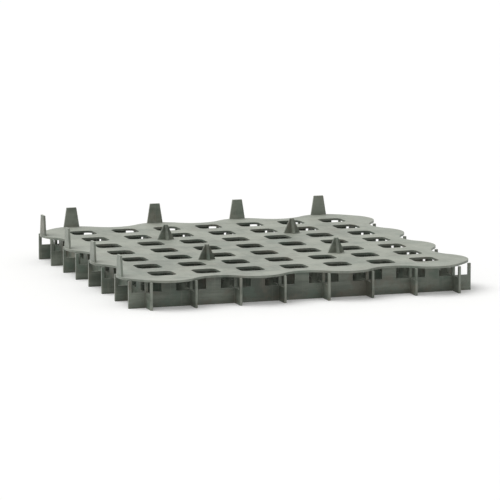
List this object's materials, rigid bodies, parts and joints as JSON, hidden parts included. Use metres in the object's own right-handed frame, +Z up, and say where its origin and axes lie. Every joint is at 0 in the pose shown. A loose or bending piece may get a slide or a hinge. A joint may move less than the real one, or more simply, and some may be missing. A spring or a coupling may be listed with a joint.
{
  "type": "grass paver grid",
  "caption": "Square moulded plastic ground grid with waved edges, square cells, a wide flange, ground spikes and edge tabs, for reinforcing grass or gravel.",
  "frame": {"origin": "under the middle of the grid, on the plane of the open rim it lies on", "axes": "+X and +Y along the sides, with tabs on the -X and +Y edges, +Z up, the way the flange and the ground spikes face"},
  "size_m": [0.499, 0.499, 0.068],
  "materials": {
    "grid_plastic": "dull moulded recycled plastic, dark grey-green"
  },
  "bodies": {
    "root": {"paver_grid": "grid_plastic"}
  },
  "joints": []
}
